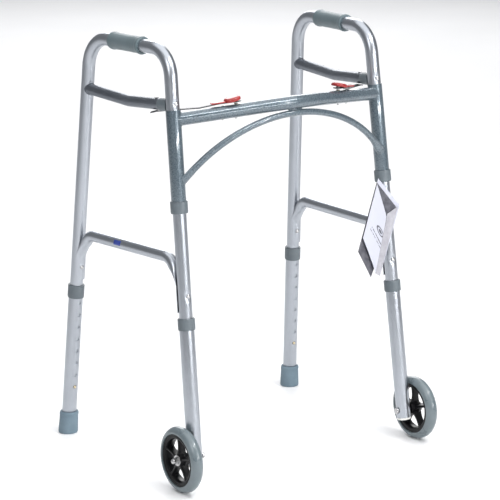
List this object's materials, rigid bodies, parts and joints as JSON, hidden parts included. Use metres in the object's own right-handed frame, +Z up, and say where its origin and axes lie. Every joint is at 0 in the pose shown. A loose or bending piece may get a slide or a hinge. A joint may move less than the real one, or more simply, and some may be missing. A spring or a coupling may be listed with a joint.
{
  "type": "walking frame",
  "caption": "Folding walking frame with bent-tube side frames, adjustable leg extensions, front wheels, rear rubber tips and a push-release latch for each side.",
  "frame": {"origin": "on the floor, at the bottom centre of the bounding box", "axes": "+Z up, +Y to the back (towards the user), +X to the user's right when facing the front of the frame"},
  "size_m": [0.604, 0.51, 0.8371],
  "materials": {
    "anodised_tube": "satin clear anodised, fine drawn lines",
    "grey_paint": "gloss grey enamel with slight orange peel",
    "grip_vinyl": "soft matte vinyl",
    "grey_plastic": "moulded, satin",
    "tip_rubber": "matte blue-grey rubber",
    "tyre_grey": "smooth solid tyre",
    "black_plastic": "moulded, fine grain",
    "red_plastic": "gloss moulded",
    "steel": "zinc plated",
    "brass": "bright",
    "white_plastic": "moulded, satin",
    "card": "coated card"
  },
  "bodies": {
    "front_brace": {"crossbar": "grey_paint", "arch_brace": "grey_paint", "sleeve_left": "grey_paint", "bushing_left": "grey_plastic", "latch_bolt_left": "steel", "latch_spring_left": "steel", "guide_rivet_left": "steel", "sleeve_right": "grey_paint", "bushing_right": "grey_plastic", "latch_bolt_right": "steel", "latch_spring_right": "steel", "guide_rivet_right": "steel"},
    "side_frame_left": {"side_tube_left": "anodised_tube", "grip_left": "grip_vinyl", "upper_brace_left": "grey_paint", "brace_saddle_left": "grey_plastic", "lower_brace_left": "anodised_tube", "catch_pin_left": "steel", "leg_rivet_left": "steel", "front_brace_rivet_left": "steel", "rear_brace_rivet_left": "steel"},
    "latch_left": {"latch_plate_left": "steel", "paddle_left": "red_plastic"},
    "leg_front_left": {"extension_front_left": "anodised_tube", "collar_front_left": "grey_plastic", "plug_left": "white_plastic", "axle_bolt_left": "steel", "axle_nut_left": "steel"},
    "clip_front_left": {"snap_clip_front_left": "brass"},
    "leg_rear_left": {"extension_rear_left": "anodised_tube", "collar_rear_left": "grey_plastic", "tip_left": "tip_rubber"},
    "clip_rear_left": {"snap_clip_rear_left": "brass"},
    "wheel_left": {"hub_left": "black_plastic", "tyre_left": "tyre_grey"},
    "side_frame_right": {"side_tube_right": "anodised_tube", "grip_right": "grip_vinyl", "upper_brace_right": "grey_paint", "brace_saddle_right": "grey_plastic", "lower_brace_right": "anodised_tube", "catch_pin_right": "steel", "leg_rivet_right": "steel", "front_brace_rivet_right": "steel", "rear_brace_rivet_right": "steel", "tag_booklet": "card", "tag_card": "card"},
    "latch_right": {"latch_plate_right": "steel", "paddle_right": "red_plastic"},
    "leg_front_right": {"extension_front_right": "anodised_tube", "collar_front_right": "grey_plastic", "plug_right": "white_plastic", "axle_bolt_right": "steel", "axle_nut_right": "steel"},
    "clip_front_right": {"snap_clip_front_right": "brass"},
    "leg_rear_right": {"extension_rear_right": "anodised_tube", "collar_rear_right": "grey_plastic", "tip_right": "tip_rubber"},
    "clip_rear_right": {"snap_clip_rear_right": "brass"},
    "wheel_right": {"hub_right": "black_plastic", "tyre_right": "tyre_grey"}
  },
  "joints": [
    {"name": "fold_left", "type": "hinge", "parent": "front_brace", "child": "side_frame_left", "pos_m": [-0.23894, -0.12599, 0.544], "axis": [-0.0223, -0.1353, -0.9906], "range_deg": [0, 56]},
    {"name": "latch_press_left", "type": "slide", "parent": "front_brace", "child": "latch_left", "axis": [0, 0, -1], "range_m": [0, 0.0018], "stiffness_N_per_m": 500, "springref_m": -0.002, "deforming": ["latch_spring_left"]},
    {"name": "height_front_left", "type": "slide", "parent": "side_frame_left", "child": "leg_front_left", "axis": [-0.0223, -0.1353, -0.9906], "range_m": [0, 0.1778], "deforming": ["snap_clip_front_left"]},
    {"name": "button_front_left", "type": "slide", "parent": "side_frame_left", "child": "clip_front_left", "axis": [0.06, -0.9892, 0.1338], "range_m": [0, 0.005], "stiffness_N_per_m": 1200, "springref_m": -0.001, "deforming": ["snap_clip_front_left"]},
    {"name": "height_rear_left", "type": "slide", "parent": "side_frame_left", "child": "leg_rear_left", "axis": [-0.0347, 0.081, -0.9961], "range_m": [0, 0.1778], "deforming": ["snap_clip_rear_left"]},
    {"name": "button_rear_left", "type": "slide", "parent": "side_frame_left", "child": "clip_rear_left", "axis": [-0.0538, 0.9951, 0.0828], "range_m": [0, 0.005], "stiffness_N_per_m": 1200, "springref_m": -0.001, "deforming": ["snap_clip_rear_left"]},
    {"name": "wheel_spin_left", "type": "hinge", "parent": "leg_front_left", "child": "wheel_left", "pos_m": [-0.2795, -0.1917, 0.0635], "axis": [1, 0, 0], "continuous": true},
    {"name": "fold_right", "type": "hinge", "parent": "front_brace", "child": "side_frame_right", "pos_m": [0.23894, -0.12599, 0.544], "axis": [-0.0223, 0.1353, 0.9906], "range_deg": [0, 80]},
    {"name": "latch_press_right", "type": "slide", "parent": "front_brace", "child": "latch_right", "axis": [0, 0, -1], "range_m": [0, 0.0018], "stiffness_N_per_m": 500, "springref_m": -0.002, "deforming": ["latch_spring_right"]},
    {"name": "height_front_right", "type": "slide", "parent": "side_frame_right", "child": "leg_front_right", "axis": [0.0223, -0.1353, -0.9906], "range_m": [0, 0.1778], "deforming": ["snap_clip_front_right"]},
    {"name": "button_front_right", "type": "slide", "parent": "side_frame_right", "child": "clip_front_right", "axis": [-0.06, -0.9892, 0.1338], "range_m": [0, 0.005], "stiffness_N_per_m": 1200, "springref_m": -0.001, "deforming": ["snap_clip_front_right"]},
    {"name": "height_rear_right", "type": "slide", "parent": "side_frame_right", "child": "leg_rear_right", "axis": [0.0347, 0.081, -0.9961], "range_m": [0, 0.1778], "deforming": ["snap_clip_rear_right"]},
    {"name": "button_rear_right", "type": "slide", "parent": "side_frame_right", "child": "clip_rear_right", "axis": [0.0538, 0.9951, 0.0828], "range_m": [0, 0.005], "stiffness_N_per_m": 1200, "springref_m": -0.001, "deforming": ["snap_clip_rear_right"]},
    {"name": "wheel_spin_right", "type": "hinge", "parent": "leg_front_right", "child": "wheel_right", "pos_m": [0.2795, -0.1917, 0.0635], "axis": [1, 0, 0], "continuous": true}
  ]
}
